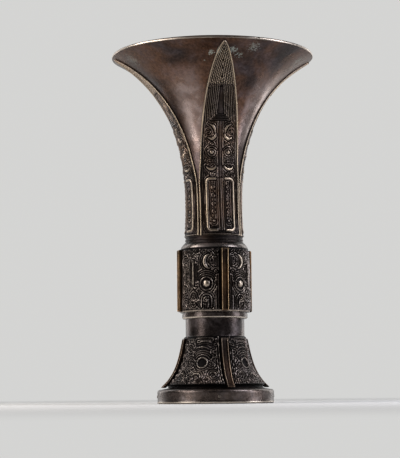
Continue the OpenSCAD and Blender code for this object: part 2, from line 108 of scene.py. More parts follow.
def turned(radius, azimuth, z):
    """Points at a radius, an azimuth in degrees and a height."""
    a = np.radians(azimuth)
    return np.stack([radius * np.sin(a), -radius * np.cos(a), z + 0 * a], -1)


# Chasing: lines, rings and scrolls raised on a patch of the surface


class Field:
    """A patch to be chased, with how far each of its points stands out in mm."""

    def __init__(self, azimuth, z, radius, up, low):
        self.azimuth, self.z, self.radius = azimuth, z, radius(z)
        self.climb, self.up = up, up(z)
        self.low = low
        self.height = np.full(z.shape, float(low))
        self.near = np.full(z.shape, 99.0)       # distance to the nearest raised line

    def at(self, azimuth, z, turn=0):
        """Distances across and up from a place on the patch, turned by turn degrees."""
        x = np.radians(self.azimuth - azimuth) * self.radius
        y = self.up - self.climb(z)
        c, s = math.cos(math.radians(turn)), math.sin(math.radians(turn))
        return x * c + y * s, y * c - x * s

    def lay(self, distance, width, height, full=0.6):
        """A rounded line: distance is from its middle."""
        half = np.maximum(width / 2, 0.05)
        bulge = np.clip(1 - (distance / half) ** 2, 0, 1) ** full
        self.near = np.minimum(self.near, distance - half)
        self.height = np.maximum(self.height, self.low + (height - self.low) * bulge)

    def ring(self, azimuth, z, r, width, height, squash=1.0):
        x, y = self.at(azimuth, z)
        self.lay(abs(np.hypot(x, y * squash) - r), width, height)

    def dome(self, azimuth, z, r, height, squash=1.0):
        x, y = self.at(azimuth, z)
        self.lay(np.hypot(x, y * squash), 2 * r, height, 0.5)

    def pit(self, azimuth, z, r, depth):
        x, y = self.at(azimuth, z)
        d = np.hypot(x, y)
        self.near = np.minimum(self.near, d - r)
        self.height = np.where(d < r, self.low + depth * np.clip(1 - (d / r) ** 4, 0, 1),
                               self.height)

    def stroke(self, azimuth, z, points, width, height, taper=0.0, turn=0, hand=1):
        """A line through points, in mm from a place; taper thins both of its ends."""
        x, y = self.at(azimuth, z, turn)
        x = x * hand
        points = np.asarray(points, float)
        spans = np.hypot(*np.diff(points, axis=0).T)
        whole, so_far = spans.sum(), 0.0
        best, along = np.full(x.shape, 99.0), np.zeros(x.shape)
        for p, q, span in zip(points[:-1], points[1:], spans):
            d = q - p
            t = np.clip(((x - p[0]) * d[0] + (y - p[1]) * d[1]) / max(span ** 2, 1e-6), 0, 1)
            distance = np.hypot(x - p[0] - t * d[0], y - p[1] - t * d[1])
            closer = distance < best
            along = np.where(closer, (so_far + t * span) / whole, along)
            best = np.where(closer, distance, best)
            so_far += span
        thin = 1 - taper * abs(2 * along - 1) ** 2
        self.lay(best, width * thin, self.low + (height - self.low) * (0.55 + 0.45 * thin))

    def arc(self, azimuth, z, r, start, end, width, height, taper=0.0, squash=1.0, hand=1):
        a = np.radians(np.linspace(start, end, 14))
        self.stroke(azimuth, z, np.stack([r * np.cos(a), r * np.sin(a) * squash], -1),
                    width, height, taper, 0, hand)

    def curl(self, azimuth, z, r, turns, start, width, height, hand=1):
        """A scroll that winds in from radius r."""
        t = np.linspace(0, 1, int(16 * turns) + 4)
        a = np.radians(start) + t * turns * 2 * math.pi
        size = r * (1 - 0.86 * t)
        self.stroke(azimuth, z, np.stack([size * np.cos(a), size * np.sin(a)], -1),
                    width, height, 0, 0, hand)

    def ground(self, across, top, pitch=1.15, follow=2.9, cell=(4.3, 3.9), turns=1.75):
        """Fills the rest: lines that follow the raised ones, and thunder scrolls further off."""
        follows = 0.5 + 0.5 * np.cos(2 * math.pi * (self.near / pitch - 0.78))
        i, j = np.floor(across / cell[0]), np.floor(self.up / cell[1])
        u = 2 * (across / cell[0] - i) - 1
        v = 2 * (self.up / cell[1] - j) - 1
        u = np.where((i + j) % 2 == 0, u, -u)
        size = np.maximum(abs(u), abs(v))
        safe = np.maximum(size, 1e-6)
        way = np.where(abs(u) >= abs(v), np.where(u > 0, v / safe, 4 - v / safe),
                       np.where(v > 0, 2 - u / safe, 6 + u / safe)) / 8
        scroll = 0.5 + 0.5 * np.cos(2 * math.pi * (size * turns - way))
        scroll *= np.clip((1.02 - size) / 0.12, 0, 1)
        lines = np.where(self.near < follow, follows, scroll)
        lines *= np.clip(self.near / 0.3, 0, 1)
        lines = lines * lines * (3 - 2 * lines)
        self.height = np.maximum(self.height, self.low + (top - self.low) * lines)


# Meshes


def piece(name, points, faces, material, relief=None):
    mesh = bpy.data.meshes.new(name)
    mesh.from_pydata((points * MM).tolist(), [], faces)
    mesh.validate()
    mesh.polygons.foreach_set("use_smooth", [True] * len(mesh.polygons))
    mesh.set_sharp_from_angle(angle=math.radians(50))
    if relief is not None:
        held = mesh.attributes.new("relief", "FLOAT", "POINT")
        held.data.foreach_set("value", np.asarray(relief, np.float32).ravel())
    made = bpy.data.objects.new(name, mesh)
    bpy.context.scene.collection.objects.link(made)
    mesh.materials.append(material)
    return made


def quads(rows, columns, rows_closed=False, columns_closed=True, first=0):
    """Faces over a grid of points, that face outwards where the rows go up the outside."""
    i, j = np.meshgrid(np.arange(rows if rows_closed else rows - 1),
                       np.arange(columns if columns_closed else columns - 1), indexing="ij")
    i2, j2 = (i + 1) % rows, (j + 1) % columns
    grid = np.stack([i * columns + j, i * columns + j2, i2 * columns + j2, i2 * columns + j], -1)
    return (grid.reshape(-1, 4) + first).tolist()


def spun(name, outline, material, columns=192, wear_and_highlight=(), painted_shade=-1.0):
    """A closed outline of (radius, height) spun round the axis; listed rows are painted bright, as
    wear and as painted highlights, and the last argument gives rows painted shade.
    """
    outline = np.asarray(outline, float)
    relief = np.zeros((len(outline), columns)) + np.reshape(painted_shade, (-1, 1))
    relief[list(wear_and_highlight)] = 0.9
    azimuth = np.linspace(0, 360, columns, endpoint=False)
    points = turned(outline[:, :1], azimuth[None, :], outline[:, 1:])
    return piece(name, points.reshape(-1, 3), quads(len(outline), columns, True), material,
                 relief)


def bead(centre, r, start, end, count=8):
    """Points along an arc, for the rounded corner of an outline."""
    a = np.radians(np.linspace(start, end, count))
    return [(centre[0] + r * math.cos(t), centre[1] + r * math.sin(t)) for t in a]


def chased(name, before, azimuth, z, radius, height, after, material, low, top, marked=()):
    """A closed wall with a chased outside: plain rows before and after it close the outline.

    low and top are the heights of the ground and of the fully rubbed lines, and marked gives the
    relief of some rows: 0.9 paints a bright highlight, 0.5 a paler highlight and -0.3 painted
    shade.
    """
    across, up = outward(radius, z)
    r = radius(z) + height * across
    rows = [turned(np.full(azimuth.shape[1], p[0]), azimuth[0], p[1]) for p in before]
    outside = turned(r, azimuth, z + height * up)
    rest = [turned(np.full(azimuth.shape[1], p[0]), azimuth[-1], p[1]) for p in after]
    points = np.concatenate([np.array(rows), outside, np.array(rest)])
    relief = np.full(points.shape[:2], -1.0)
    relief[len(before):len(before) + len(z)] = (height - low) / (top - low)
    for row, value in dict(marked).items():
        relief[row] = value
    return piece(name, points.reshape(-1, 3), quads(len(points), points.shape[1], True),
                 material, relief)


# Materials: each effect is a group with named inputs, placed in every bronze


def new_group(name, inputs, outputs):
    group = bpy.data.node_groups.new(name, "ShaderNodeTree")
    for label, kind, value in inputs:
        made = group.interface.new_socket(label, in_out="INPUT", socket_type="NodeSocket" + kind)
        if value is not None:
            made.default_value = value
    for label, kind in outputs:
        group.interface.new_socket(label, in_out="OUTPUT", socket_type="NodeSocket" + kind)
    return group, group.nodes.new("NodeGroupInput"), group.nodes.new("NodeGroupOutput")


def feed(tree, node, values):
    """Gives a node's inputs their values: a socket is linked, a number or colour is set."""
    for key, value in values.items():
        if isinstance(value, bpy.types.NodeSocket):
            tree.links.new(value, node.inputs[key])
        else:
            node.inputs[key].default_value = value
    return node


def add(tree, kind, values=None, **settings):
    made = tree.nodes.new("ShaderNode" + kind)
    for key, value in settings.items():
        setattr(made, key, value)
    return feed(tree, made, values or {})


def mix(tree, share, a, b):
    """A colour between a and b; each is a socket or a plain colour."""
    return add(tree, "Mix", {0: share, 6: a, 7: b}, data_type="RGBA").outputs[2]


def sums(tree, operation, a, b=0.0, clamp=False):
    return add(tree, "Math", {0: a, 1: b}, operation=operation, use_clamp=clamp).outputs[0]


def ramp(tree, value, low, high, start=0.0, end=1.0):
    """value between low and high, as start to end."""
    return add(tree, "MapRange", {0: value, 1: low, 2: high, 3: start, 4: end},
               interpolation_type="SMOOTHSTEP").outputs[0]


def noise(tree, where, scale, detail=4.0, rough=0.55, distortion=0.0):
    return add(tree, "TexNoise", {"Vector": where, "Scale": scale, "Detail": detail,
                                  "Roughness": rough, "Distortion": distortion}).outputs[0]


def clouds_group():
    """Patina in clouds: deep brown, warm red-brown and a pale lilac bloom."""
    g, into, out = new_group("Patina clouds", [
        ("Deep", "Color", (0.05, 0.035, 0.03, 1)), ("Warm", "Color", (0.14, 0.07, 0.05, 1)),
        ("Bloom", "Color", (0.2, 0.17, 0.18, 1)), ("Warmth", "Float", 0.5),
        ("Haze", "Float", 0.4)], [("Color", "Color"), ("Clouds", "Float")])
    where = add(g, "TexCoord").outputs["Object"]
    wide = noise(g, where, 22, 3, 0.5, 0.6)
    middle = noise(g, where, 85, 5, 0.6, 0.3)
    small = noise(g, where, 420, 4, 0.65)
    warm = sums(g, "MULTIPLY", ramp(g, wide, 0.40, 0.62), into.outputs["Warmth"])
    base = mix(g, warm, into.outputs["Deep"], into.outputs["Warm"])
    haze = sums(g, "MULTIPLY", ramp(g, middle, 0.42, 0.72), into.outputs["Haze"])
    base = mix(g, haze, base, into.outputs["Bloom"])
    dull = add(g, "HueSaturation", {"Value": 0.62, "Color": base}).outputs[0]
    base = mix(g, ramp(g, small, 0.38, 0.62), dull, base)
    g.links.new(base, out.inputs["Color"])
    g.links.new(middle, out.inputs["Clouds"])
    return g


def rubbed_and_highlight_group():
    """Where hands have rubbed the high lines bright, from the chased height and the edges; rows
    given a high relief come through it as painted highlights.
    """
    g, into, out = new_group("Rubbed ridges and painted highlights", [
        ("Start", "Float", 0.55), ("Full", "Float", 1.0), ("Patchy", "Float", 0.5),
        ("Edges", "Float", 0.3)], [("Mask", "Float"), ("High", "Float")])
    where = add(g, "TexCoord").outputs["Object"]
    relief = add(g, "Attribute", attribute_name="relief").outputs["Fac"]
    g.links.new(ramp(g, relief, 0.25, 0.7), out.inputs["High"])
    high = ramp(g, relief, into.outputs["Start"], into.outputs["Full"])
    bent = add(g, "NewGeometry").outputs["Pointiness"]
    edge = sums(g, "MULTIPLY", ramp(g, bent, 0.52, 0.60), into.outputs["Edges"])
    both = sums(g, "MAXIMUM", high, edge)
    patch = ramp(g, noise(g, where, 60, 5, 0.6), 0.35, 0.65)
    kept = sums(g, "SUBTRACT", 1.0, sums(g, "MULTIPLY", into.outputs["Patchy"],
                                         sums(g, "SUBTRACT", 1.0, patch)))
    g.links.new(sums(g, "MULTIPLY", both, kept, True), out.inputs["Mask"])
    return g


def settled_dirt_and_shade_group():
    """Darkens the lows: dirt settled between the raised lines, and painted shade on rows given a
    shaded relief.
    """
    g, into, out = new_group("Settled dirt and painted shade", [
        ("Depth", "Float", 0.4), ("Amount", "Float", 0.8)], [("Mask", "Float")])
    relief = add(g, "Attribute", attribute_name="relief").outputs["Fac"]
    chased_here = ramp(g, relief, -0.6, -0.3)
    low = ramp(g, relief, 0.0, into.outputs["Depth"], 1.0, 0.0)
    g.links.new(sums(g, "MULTIPLY", sums(g, "MULTIPLY", low, chased_here),
                     into.outputs["Amount"], True), out.inputs["Mask"])
    return g


def painted_panel_highlight_group():
    """A painted highlight: the paler middle of each bare panel between the blades, from Low to
    High.
    """
    g, into, out = new_group("Painted panel highlights", [
        ("Low", "Float", 0.185), ("High", "Float", 0.27), ("Amount", "Float", 0.8)],
        [("Mask", "Float")])
    where = add(g, "TexCoord").outputs["Object"]
    parts = add(g, "SeparateXYZ", {0: where}).outputs
    turn = sums(g, "ARCTAN2", parts["X"], sums(g, "MULTIPLY", parts["Y"], -1.0))
    middle = ramp(g, sums(g, "COSINE", sums(g, "MULTIPLY", turn, 4.0)), -0.95, 0.1, 1.0, 0.0)
    rise = ramp(g, sums(g, "SUBTRACT", parts["Z"], into.outputs["Low"]), 0.0, 0.03)
    fall = ramp(g, sums(g, "SUBTRACT", into.outputs["High"], parts["Z"]), 0.0, 0.035)
    mask = sums(g, "MULTIPLY", sums(g, "MULTIPLY", middle, rise), fall)
    cloudy = ramp(g, noise(g, where, 75, 4, 0.6, 0.3), 0.36, 0.66, 0.35, 1.0)
    g.links.new(sums(g, "MULTIPLY", sums(g, "MULTIPLY", mask, cloudy), into.outputs["Amount"]),
                out.inputs["Mask"])
    return g


def verdigris_group():
    """Pale green specks, thickest about a place on the vessel."""
    g, into, out = new_group("Verdigris specks", [
        ("Place", "Vector", (0, 0, 0)), ("Reach", "Float", 0.03), ("Amount", "Float", 0.5)],
        [("Mask", "Float")])
    where = add(g, "TexCoord").outputs["Object"]
    away = add(g, "VectorMath", {0: where, 1: into.outputs["Place"]},
               operation="DISTANCE").outputs["Value"]
    close = ramp(g, away, 0.0, into.outputs["Reach"], 1.0, 0.0)
    specks = noise(g, where, 640, 8, 0.75)
    level = sums(g, "SUBTRACT", 0.70, sums(g, "MULTIPLY", close, 0.24))
    mask = ramp(g, sums(g, "SUBTRACT", specks, level), 0.0, 0.05)
    g.links.new(sums(g, "MULTIPLY", mask, into.outputs["Amount"], True), out.inputs["Mask"])
    return g


def skin_group():
    """The casting's skin: soft unevenness, grain and small pits, as a height."""
    g, into, out = new_group("Cast skin", [
        ("Unevenness", "Float", 0.5), ("Grain", "Float", 0.3), ("Pits", "Float", 0.4)],
        [("Height", "Float")])
    where = add(g, "TexCoord").outputs["Object"]
    wide = sums(g, "MULTIPLY", noise(g, where, 140, 3, 0.5), into.outputs["Unevenness"])
    grain = sums(g, "MULTIPLY", noise(g, where, 1500, 3, 0.6), into.outputs["Grain"])
    cells = add(g, "TexVoronoi", {"Scale": 420.0, "Vector": where}).outputs["Distance"]
    deep = ramp(g, cells, 0.08, 0.26, 1.0, 0.0)
    some = ramp(g, noise(g, where, 190, 2, 0.5), 0.58, 0.70)
    pits = sums(g, "MULTIPLY", sums(g, "MULTIPLY", deep, some), into.outputs["Pits"])
    g.links.new(sums(g, "SUBTRACT", sums(g, "ADD", wide, grain), pits), out.inputs["Height"])
    return g


CLOUDS, RUBBED_AND_HIGHLIGHT, SETTLED_DIRT_AND_SHADE = clouds_group(), rubbed_and_highlight_group(), settled_dirt_and_shade_group()
VERDIGRIS, SKIN, PANEL_HIGHLIGHTS = verdigris_group(), skin_group(), painted_panel_highlight_group()


def placed(tree, group, values):
    return add(tree, "Group", values, node_tree=group)


# the first colour is dark dirt in the lows, and painted shade on rows given a shaded relief
DIRT_AND_SHADE_COLOUR, CRUST = (0.002, 0.0017, 0.0017, 1), (0.52, 0.57, 0.51, 1)


def bronze(name, deep, warm, bloom, rub, warmth=0.5, haze=0.4, rub_from=0.5, rub_edges=0.3,
           patchy=0.5, dirt=0.8, rough=(0.34, 0.52), uneven=0.5, green=(), lit=0.5,
           panels=0.0, depth=0.38):
    """A patinated bronze: clouds of patina, dirt and painted shade in the lows, rubbed metal and
    painted highlights on the highs.

    lit is how much paler the raised lines are, depth how high the dirt and painted shade reach,
    and green lists places with verdigris, each with its reach and amount.
    """
    material = bpy.data.materials.new(name)
    material.use_nodes = True
    tree = material.node_tree
    shader = tree.nodes["Principled BSDF"]
    patina = placed(tree, CLOUDS, {"Deep": deep, "Warm": warm, "Bloom": bloom,
                                   "Warmth": warmth, "Haze": haze})
    dirt_and_shade_mask = placed(tree, SETTLED_DIRT_AND_SHADE, {"Depth": depth, "Amount": dirt}).outputs["Mask"]
    wear_and_highlight = placed(tree, RUBBED_AND_HIGHLIGHT, {"Start": rub_from, "Full": 1.0, "Patchy": patchy,
                                 "Edges": rub_edges})
    colour = patina.outputs["Color"]
    # painted highlight: the middle of each bare trumpet panel is painted paler and made a little
    # glossier
    if panels:
        middle = placed(tree, PANEL_HIGHLIGHTS, {"Amount": panels}).outputs["Mask"]
        colour = mix(tree, middle, colour, PANEL_HIGHLIGHT_COLOUR)
    colour = mix(tree, sums(tree, "MULTIPLY", wear_and_highlight.outputs["High"], lit), colour, PALE)
    # dirt and painted shade: the lows are darkened
    colour = mix(tree, dirt_and_shade_mask, colour, DIRT_AND_SHADE_COLOUR)
    # rubbed wear, and painted highlights on rows given a high relief
    colour = mix(tree, wear_and_highlight.outputs["Mask"], colour, rub)
    crust = None
    for place, reach, amount in green:
        speck = placed(tree, VERDIGRIS, {"Place": Vector(place) * MM, "Reach": reach * MM,
                                         "Amount": amount}).outputs["Mask"]
        colour = mix(tree, speck, colour, CRUST)
        crust = speck if crust is None else sums(tree, "MAXIMUM", crust, speck)
    gloss = ramp(tree, patina.outputs["Clouds"], 0.3, 0.7, *rough)
    gloss = sums(tree, "ADD", gloss, sums(tree, "MULTIPLY", dirt_and_shade_mask, 0.25), True)
    if panels:
        gloss = sums(tree, "SUBTRACT", gloss, sums(tree, "MULTIPLY", middle, 0.1))
    if crust is not None:
        gloss = sums(tree, "ADD", gloss, sums(tree, "MULTIPLY", crust, 0.4), True)
    height = placed(tree, SKIN, {"Unevenness": uneven, "Grain": 0.3, "Pits": 0.5})
    skin = add(tree, "Bump", {"Strength": 0.35, "Distance": 0.0006,
                              "Height": height.outputs["Height"]})
    feed(tree, shader, {"Base Color": colour, "Metallic": 0.9, "Specular IOR Level": 0.2,
                        "Roughness": gloss, "Normal": skin.outputs["Normal"]})
    return material


DEEP, WARM, BLOOM = (0.044, 0.032, 0.026, 1), (0.156, 0.088, 0.052, 1), (0.23, 0.188, 0.19, 1)
# the third colour here is the painted highlight in the middle of the trumpet's panels
GOLD, PALE, PANEL_HIGHLIGHT_COLOUR = (0.52, 0.405, 0.28, 1), (0.27, 0.23, 0.204, 1), (0.4, 0.32, 0.3, 1)

trumpet_bronze = bronze(
    "trumpet bronze", (0.04, 0.028, 0.025, 1), (0.136, 0.068, 0.04, 1), (0.17, 0.142, 0.162, 1),
    (0.5, 0.43, 0.36, 1), warmth=0.9, haze=0.27, rub_edges=0.6, rough=(0.26, 0.37), uneven=0.8,
    lit=0.0,
    green=(((-20, -65, 271), 7, 0.6), ((-23, -58, 265), 5, 0.5), ((-4, -70, 273), 9, 0.6),
           ((2, -66, 270), 8, 0.4), ((12, -73, 276), 12, 0.35), ((60, -37, 275), 16, 0.35),
           ((-70, -12, 274), 16, 0.3)), panels=0.8)
blade_bronze = bronze(
    "blade bronze", DEEP, WARM, BLOOM, GOLD, warmth=0.6, haze=0.35,
    rub_from=0.62, dirt=0.95, rough=(0.25, 0.4), lit=0.42, depth=0.5,
    green=(((-17, -68, 273), 12, 0.5), ((-22, -47, 250), 10, 0.4)))
drum_bronze = bronze(
    "drum bronze", (0.04, 0.032, 0.03, 1), (0.1, 0.068, 0.052, 1), (0.24, 0.2, 0.21, 1),
    (0.4, 0.33, 0.26, 1), warmth=0.55,
    haze=0.35, rub_from=0.65, dirt=0.95, rough=(0.23, 0.37), lit=0.52, patchy=0.6, depth=0.5)
foot_bronze = bronze(
    "foot bronze", (0.036, 0.028, 0.026, 1), (0.11, 0.072, 0.056, 1), (0.2, 0.17, 0.176, 1),
    (0.3, 0.255, 0.21, 1), warmth=0.6, haze=0.35, rub_from=0.7, dirt=0.97, rough=(0.23, 0.36),
    lit=0.3, patchy=0.6, depth=0.5)
plain_bronze = bronze(
    "plain ring bronze", (0.07, 0.054, 0.048, 1), (0.13, 0.096, 0.08, 1),
    (0.2, 0.176, 0.176, 1), (0.62, 0.54, 0.45, 1), warmth=0.7, haze=0.45, rub_edges=0.9,
    rough=(0.24, 0.34), lit=0.6)
pin_bronze = bronze(
    "pin bronze", (0.06, 0.048, 0.042, 1), (0.12, 0.09, 0.072, 1), (0.2, 0.17, 0.16, 1),
    (0.4, 0.34, 0.28, 1), warmth=0.5, haze=0.3, rough=(0.34, 0.44), lit=0.0)
flange_bronze = bronze(
    "rubbed flange bronze", (0.05, 0.032, 0.022, 1), (0.22, 0.116, 0.052, 1),
    (0.2, 0.16, 0.14, 1), (0.52, 0.37, 0.22, 1), warmth=0.85, haze=0.2, rub_from=0.86,
    patchy=0.8, rub_edges=0.1, rough=(0.3, 0.44), dirt=0.94, lit=0.0)
foot_rail_bronze = bronze(
    "foot flange bronze", (0.032, 0.022, 0.018, 1), (0.1, 0.052, 0.028, 1),
    (0.2, 0.16, 0.14, 1), (0.36, 0.27, 0.2, 1), warmth=0.85, haze=0.2, rub_from=0.86,
    patchy=0.6, rub_edges=0.1, rough=(0.3, 0.44), dirt=0.94, lit=0.0, depth=0.5)
inner_bronze = bronze(
    "cup bronze", (0.05, 0.04, 0.035, 1), (0.09, 0.06, 0.05, 1), (0.12, 0.13, 0.12, 1), GOLD,
    warmth=0.6, haze=0.3, rough=(0.45, 0.65), lit=0.0)
solder = bronze(
    "soft solder", (0.22, 0.22, 0.21, 1), (0.3, 0.29, 0.27, 1), (0.35, 0.35, 0.34, 1),
    (0.5, 0.49, 0.47, 1), warmth=0.3, haze=0.3, rough=(0.4, 0.6), lit=0.0)


# Neck: the plain trumpet wall with its rim and string grooves


def neck_wall():
    zs = even_heights(neck_radius, NECK_Z, LIP_Z, 1.1)
    zs = np.unique(np.concatenate([zs, NECK_Z + np.arange(0, 5.2, 0.12)]))
    depth = np.zeros(len(zs))
    for middle in (1.65, 3.95):
        depth -= 0.6 * np.clip(1 - (abs(zs - NECK_Z - middle) / 0.62) ** 4, 0, 1)
    across, up = outward(neck_radius, zs)
    outside = np.stack([neck_radius(zs) + depth * across, zs + depth * up], -1)
    lip_r = neck_radius(LIP_Z) - NECK_WALL / 2 * outward(neck_radius, LIP_Z)[0]
    rim = bead((lip_r - 0.03, RIM_Z - BEAD_R), BEAD_R, -25, 140, 12)
    inner = even_heights(neck_radius, THROAT_Z, LIP_Z, 2.2)[::-1]
    across, up = outward(neck_radius, inner)
    inside = np.stack([neck_radius(inner) - NECK_WALL * across, inner - NECK_WALL * up], -1)
    spigot = [(THROAT_R - NECK_WALL, NECK_Z - SPIGOT_H), (SPIGOT_R, NECK_Z - SPIGOT_H),
              (SPIGOT_R, NECK_Z)]
    outline = spigot + outside.tolist() + rim + inside.tolist()
    # plain, but painted shade darkens it towards the bottom, between the feet of the blades
    heights = np.array(outline)[:, 1]
    painted_shade = -1 + 0.62 * np.clip((200 - heights) / 38, 0, 1)
    rim_row = len(spigot) + len(outside)
    return spun("trumpet_wall", outline, trumpet_bronze, 256, range(rim_row, rim_row + 4), painted_shade)


# Blades: four leaves of fine ornament that climb the trumpet and lean a little

BLADE_LOW, BLADE_TOP = 0.25, 1.4     # the ground and the fully rubbed lines, out from the wall
BLADE_EDGE = -0.6                    # how deep the border and the back lie in the wall


def blade_middle(z):
    """Azimuth of a blade's middle at a height: it leans from foot to tip."""
    return -9.5 * (z - BLADE_FOOT) / (BLADE_TIP - BLADE_FOOT)


def blade_half(z):
    """Half a blade's width at a height."""
    u = np.clip((BLADE_TIP - z) / (BLADE_TIP - BLADE_FULL), 0, 1)
    wide = 16.4 * (1 - (1 - u) ** 2.4) ** 0.58
    spread = 1.7 * np.clip((BLADE_FULL + 14 - z) / 28, 0, None)
    return np.minimum(wide + spread, np.radians(44.2) * neck_radius(z))


def blade_field():
    """Half a blade, from its middle to its edge: x is the distance from its middle in mm."""
    zs = even_heights(neck_radius, BLADE_FOOT, BLADE_TIP - 0.02, 0.48)
    share, z = np.meshgrid(np.linspace(0, 1, 49) ** 0.92, zs)
    half = np.maximum(blade_half(z), 0.3)
    x = half * share
    f = Field(np.degrees(x / neck_radius(z)), z, neck_radius, climb(neck_radius, 120, RIM_Z),
              BLADE_LOW)
    up = f.up
    edge = half - x                                  # distance from the blade's edge
    level = lambda at: up - f.climb(at)

    # the bead round the blade and the band inside it
    f.lay(abs(edge - 0.9), 1.8, BLADE_TOP)
    foot_edge = level(BLADE_FOOT)
    f.lay(abs(foot_edge - 0.6), 1.1, 1.1)

    # the frame: a bracket with rounded corners, filled with curls
    low, high, out = 137.2, 178.6, 10.9
    mid, tall = (f.climb(low) + f.climb(high)) / 2, (f.climb(high) - f.climb(low)) / 2
    qx = x - (out - 3)
    qy = abs(up - mid) - (tall - 3)
    outer = np.hypot(np.clip(qx, 0, None), np.clip(qy, 0, None)) + np.minimum(
        np.maximum(qx, qy), 0) - 3
    gap = np.where(x < 3.4, 99.0, 0)
    f.lay(abs(outer) + gap, 2.5, 1.28, 0.5)
    f.lay(np.where(outer < 0, x, 99.0), 1.5, 0.85)                    # the ridge in its middle
    f.lay(np.where(outer < -1.6, abs(x - 3.2), 99.0), 0.7, 0.65)
    f.lay(np.where((outer < -2.2) & (level(148) > 0), abs(x - 8.2), 99.0), 0.8, 0.7)
    for n, at in enumerate((171.5, 165.0, 158.5, 152.0)):
        f.curl(np.degrees(5.7 / 22.7), at, 1.9, 1.1, 90 if n % 2 else -90, 0.9, 0.85,
               -1 if n % 2 else 1)
    f.arc(np.degrees(6.2 / 23), 143.5, 2.9, 180, 360, 1.0, 1.0, 0.4)
    f.dome(np.degrees(6.2 / 23), 144.6, 1.1, 1.1)

    # paired figures above the frame: curls, crescents, eyes, beaks and claws
    f.lay(np.where((level(180) > 0) & (level(223.6) < 0), x, 99.0), 1.9, 0.75)  # the spine
    place = lambda mm, at: np.degrees(mm / neck_radius(at))
    eye_z = 199.4
    eye = (place(6.6, eye_z), eye_z)
    f.curl(place(6.4, 182.4), 182.4, 2.1, 1.2, 180, 0.9, 1.0)
    f.arc(place(7.2, 190.2), 190.2, 4.2, 200, 340, 2.4, 1.4, 0.7)
    f.arc(place(7.0, 189.2), 189.2, 1.3, 180, 360, 0.9, 1.0, 0.5)
    f.ring(*eye, 2.9, 1.1, 1.05)
    f.dome(*eye, 1.7, 1.45)
    f.arc(*eye, 4.6, 25, 155, 1.0, 1.05, 0.6)
    f.stroke(place(0, 210.5), 210.5, [(3.4, 3.6), (4.2, 0.8), (6.4, -0.8), (9.8, 0.6)], 2.6,
             1.4, 0.7)
    f.curl(place(6.4, 206), 205.6, 1.5, 1.0, 0, 0.8, 0.95)
    f.stroke(place(0, 218.5), 218.5, [(3.9, -4.6), (4.3, -1.2), (6.0, 1.8), (9.4, 3.4)], 2.0,
             1.35, 0.75)
    f.arc(place(9.3, 216), 215.4, 1.6, 60, 300, 0.8, 0.95, 0.4)

    # nested steps under the plain tongue, with upright lines either side of it
    step_z, tongue_z, scale_z = 223.8, 229.4, 249.5
    tongue = 0.9 + 1.5 * np.clip((scale_z - 2 - z) / 18, 0, 1)
    far = np.maximum(x - tongue, f.climb(tongue_z) - up)
    upright = (level(step_z) > 0) & (z < scale_z + 0.5)
    on_tongue = upright & (level(tongue_z) > 0) & (z < scale_z - 1)
    f.lay(np.where(on_tongue, x, 99.0), 2 * tongue, 0.6, 0.3)
    pitch = 1.42
    shown = upright & (edge > 1.9)
    for n in range(12):
        f.lay(np.where(shown, abs(far - 1.0 - pitch * n), 99.0), 0.85, 0.95)

    # chevrons that follow the edges up to the tip, broken into scales
    rise = np.clip((z - scale_z) / 1.5, 0, 1)
    for n in range(9):
        line = abs(edge - 2.3 - pitch * n)
        scale = 0.82 + 0.18 * np.cos(2 * math.pi * (up / 2.3 + 0.5 * n))
        f.lay(np.where(rise > 0, line, 99.0), 1.0, 0.4 + scale * rise, 0.5)

    taken = (level(step_z) > 0) | (edge < 1.9) | (foot_edge < 1.4)
    f.near = np.where(taken, np.minimum(f.near, 0.0), f.near)
    # lines that run round outside the frame
    outside = (outer > 0.6) & (level(high - 0.6) < 0) & (edge > 1.9) & (foot_edge > 1.6)
    lines = np.clip(np.cos(2 * math.pi * (outer - 0.3) / 1.5), 0, 1) ** 0.7
    f.height = np.where(outside, np.maximum(f.height, BLADE_LOW + 0.5 * lines), f.height)
    f.near = np.where(outside, 0.0, f.near)
    f.ground(x, 0.85, 1.5, 2.6, (4.4, 4.2), 1.6)
    return f


